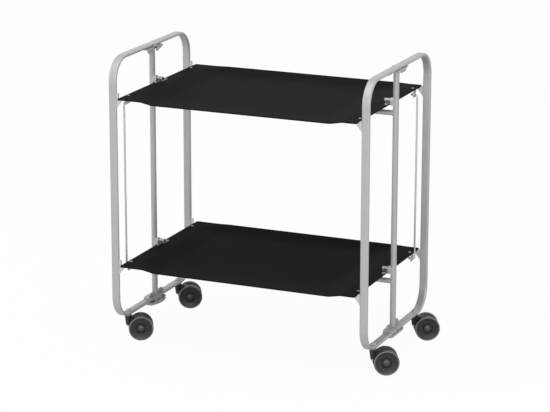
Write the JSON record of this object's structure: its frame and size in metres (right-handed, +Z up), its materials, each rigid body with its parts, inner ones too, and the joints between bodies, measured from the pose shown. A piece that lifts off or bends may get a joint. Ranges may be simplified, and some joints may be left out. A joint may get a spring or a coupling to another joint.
{
  "type": "folding serving cart",
  "caption": "Serving cart on twin-wheel casters with dished black trays in leaves that fold up and silver tube loops split at a hinge on the centre posts.",
  "frame": {"origin": "on the floor at the middle of the cart, between the loops and on the leaf hinges' plane", "axes": "+X along the cart towards the side the casters trail to, +Y from front to rear, +Z up"},
  "size_m": [0.7041, 0.43, 0.702],
  "materials": {
    "frame_silver": "satin silver coat",
    "ear_silver": "satin silver coat",
    "bright_steel": "zinc plated",
    "rivet_grey": "plain",
    "pin_black": "black oxide",
    "tray_black": "fine satin grain",
    "caster_dark": "moulded"
  },
  "bodies": {
    "centre_frame": {"left_post": "frame_silver", "left_top_bracket": "frame_silver", "left_bottom_bracket": "frame_silver", "left_gate_pins": "pin_black", "upper_left_pivot": "frame_silver", "lower_left_pivot": "frame_silver", "right_post": "frame_silver", "right_top_bracket": "frame_silver", "right_bottom_bracket": "frame_silver", "right_gate_pins": "pin_black", "upper_right_pivot": "frame_silver", "lower_right_pivot": "frame_silver", "upper_spine": "frame_silver", "lower_spine": "frame_silver", "leaf_pins": "bright_steel"},
    "upper_front_leaf": {"upper_front_panel": "tray_black", "upper_front_fittings": "bright_steel", "upper_front_rivets": "rivet_grey"},
    "upper_rear_leaf": {"upper_rear_panel": "tray_black", "upper_rear_fittings": "bright_steel", "upper_rear_rivets": "rivet_grey"},
    "lower_front_leaf": {"lower_front_panel": "tray_black", "lower_front_fittings": "bright_steel", "lower_front_rivets": "rivet_grey"},
    "lower_rear_leaf": {"lower_rear_panel": "tray_black", "lower_rear_fittings": "bright_steel", "lower_rear_rivets": "rivet_grey"},
    "front_link": {"front_rod": "bright_steel"},
    "rear_link": {"rear_rod": "bright_steel"},
    "front_left_gate": {"front_left_half_loop": "frame_silver", "front_left_ears": "ear_silver", "front_left_stem": "bright_steel", "front_left_stem_nut": "frame_silver"},
    "front_left_caster": {"front_left_caster_hood": "caster_dark"},
    "front_left_wheel_set": {"front_left_axle": "bright_steel", "front_left_wheels": "caster_dark"},
    "front_right_gate": {"front_right_half_loop": "frame_silver", "front_right_ears": "ear_silver", "front_right_stem": "bright_steel", "front_right_stem_nut": "frame_silver"},
    "front_right_caster": {"front_right_caster_hood": "caster_dark"},
    "front_right_wheel_set": {"front_right_axle": "bright_steel", "front_right_wheels": "caster_dark"},
    "rear_left_gate": {"rear_left_half_loop": "frame_silver", "rear_left_ears": "ear_silver", "rear_left_stem": "bright_steel", "rear_left_stem_nut": "frame_silver"},
    "rear_left_caster": {"rear_left_caster_hood": "caster_dark"},
    "rear_left_wheel_set": {"rear_left_axle": "bright_steel", "rear_left_wheels": "caster_dark"},
    "rear_right_gate": {"rear_right_half_loop": "frame_silver", "rear_right_ears": "ear_silver", "rear_right_stem": "bright_steel", "rear_right_stem_nut": "frame_silver"},
    "rear_right_caster": {"rear_right_caster_hood": "caster_dark"},
    "rear_right_wheel_set": {"rear_right_axle": "bright_steel", "rear_right_wheels": "caster_dark"}
  },
  "joints": [
    {"name": "upper_front_fold", "type": "hinge", "parent": "centre_frame", "child": "upper_front_leaf", "pos_m": [0, 0, 0.6175], "axis": [-1, 0, 0], "range_deg": [0, 80]},
    {"name": "lower_front_fold", "type": "hinge", "parent": "centre_frame", "child": "lower_front_leaf", "pos_m": [0, 0, 0.213], "axis": [-1, 0, 0], "range_deg": [0, 80]},
    {"name": "front_rod_swing", "type": "hinge", "parent": "upper_front_leaf", "child": "front_link", "pos_m": [-0.2955, -0.17, 0.595], "axis": [-1, 0, 0], "range_deg": [-80, 0]},
    {"name": "upper_rear_fold", "type": "hinge", "parent": "centre_frame", "child": "upper_rear_leaf", "pos_m": [0, 0, 0.6175], "axis": [1, 0, 0], "range_deg": [0, 80]},
    {"name": "lower_rear_fold", "type": "hinge", "parent": "centre_frame", "child": "lower_rear_leaf", "pos_m": [0, 0, 0.213], "axis": [1, 0, 0], "range_deg": [0, 80]},
    {"name": "rear_rod_swing", "type": "hinge", "parent": "upper_rear_leaf", "child": "rear_link", "pos_m": [0.2955, 0.17, 0.595], "axis": [1, 0, 0], "range_deg": [-80, 0]},
    {"name": "front_left_swing", "type": "hinge", "parent": "centre_frame", "child": "front_left_gate", "pos_m": [-0.316, -0.0104, 0.066], "axis": [0, 0, -1], "range_deg": [0, 57]},
    {"name": "front_left_swivel", "type": "hinge", "parent": "front_left_gate", "child": "front_left_caster", "pos_m": [-0.316, -0.138, 0.048], "axis": [0, 0, 1], "continuous": true},
    {"name": "front_left_roll", "type": "hinge", "parent": "front_left_caster", "child": "front_left_wheel_set", "pos_m": [-0.28951, -0.12392, 0.03], "axis": [-0.4695, 0.8829, 0], "continuous": true},
    {"name": "front_right_swing", "type": "hinge", "parent": "centre_frame", "child": "front_right_gate", "pos_m": [0.316, -0.0104, 0.066], "axis": [0, 0, 1], "range_deg": [0, 57]},
    {"name": "front_right_swivel", "type": "hinge", "parent": "front_right_gate", "child": "front_right_caster", "pos_m": [0.316, -0.138, 0.048], "axis": [0, 0, 1], "continuous": true},
    {"name": "front_right_roll", "type": "hinge", "parent": "front_right_caster", "child": "front_right_wheel_set", "pos_m": [0.34249, -0.12392, 0.03], "axis": [-0.4695, 0.8829, 0], "continuous": true},
    {"name": "rear_left_swing", "type": "hinge", "parent": "centre_frame", "child": "rear_left_gate", "pos_m": [-0.316, 0.0104, 0.066], "axis": [0, 0, 1], "range_deg": [0, 57]},
    {"name": "rear_left_swivel", "type": "hinge", "parent": "rear_left_gate", "child": "rear_left_caster", "pos_m": [-0.316, 0.138, 0.048], "axis": [0, 0, 1], "continuous": true},
    {"name": "rear_left_roll", "type": "hinge", "parent": "rear_left_caster", "child": "rear_left_wheel_set", "pos_m": [-0.28951, 0.15208, 0.03], "axis": [-0.4695, 0.8829, 0], "continuous": true},
    {"name": "rear_right_swing", "type": "hinge", "parent": "centre_frame", "child": "rear_right_gate", "pos_m": [0.316, 0.0104, 0.066], "axis": [0, 0, -1], "range_deg": [0, 57]},
    {"name": "rear_right_swivel", "type": "hinge", "parent": "rear_right_gate", "child": "rear_right_caster", "pos_m": [0.316, 0.138, 0.048], "axis": [0, 0, 1], "continuous": true},
    {"name": "rear_right_roll", "type": "hinge", "parent": "rear_right_caster", "child": "rear_right_wheel_set", "pos_m": [0.34249, 0.15208, 0.03], "axis": [-0.4695, 0.8829, 0], "continuous": true}
  ],
  "couplings": [
    {"joint": "lower_front_fold", "follows": "upper_front_fold", "ratio": 1},
    {"joint": "front_rod_swing", "follows": "upper_front_fold", "ratio": -1},
    {"joint": "lower_rear_fold", "follows": "upper_rear_fold", "ratio": 1},
    {"joint": "rear_rod_swing", "follows": "upper_rear_fold", "ratio": -1}
  ]
}
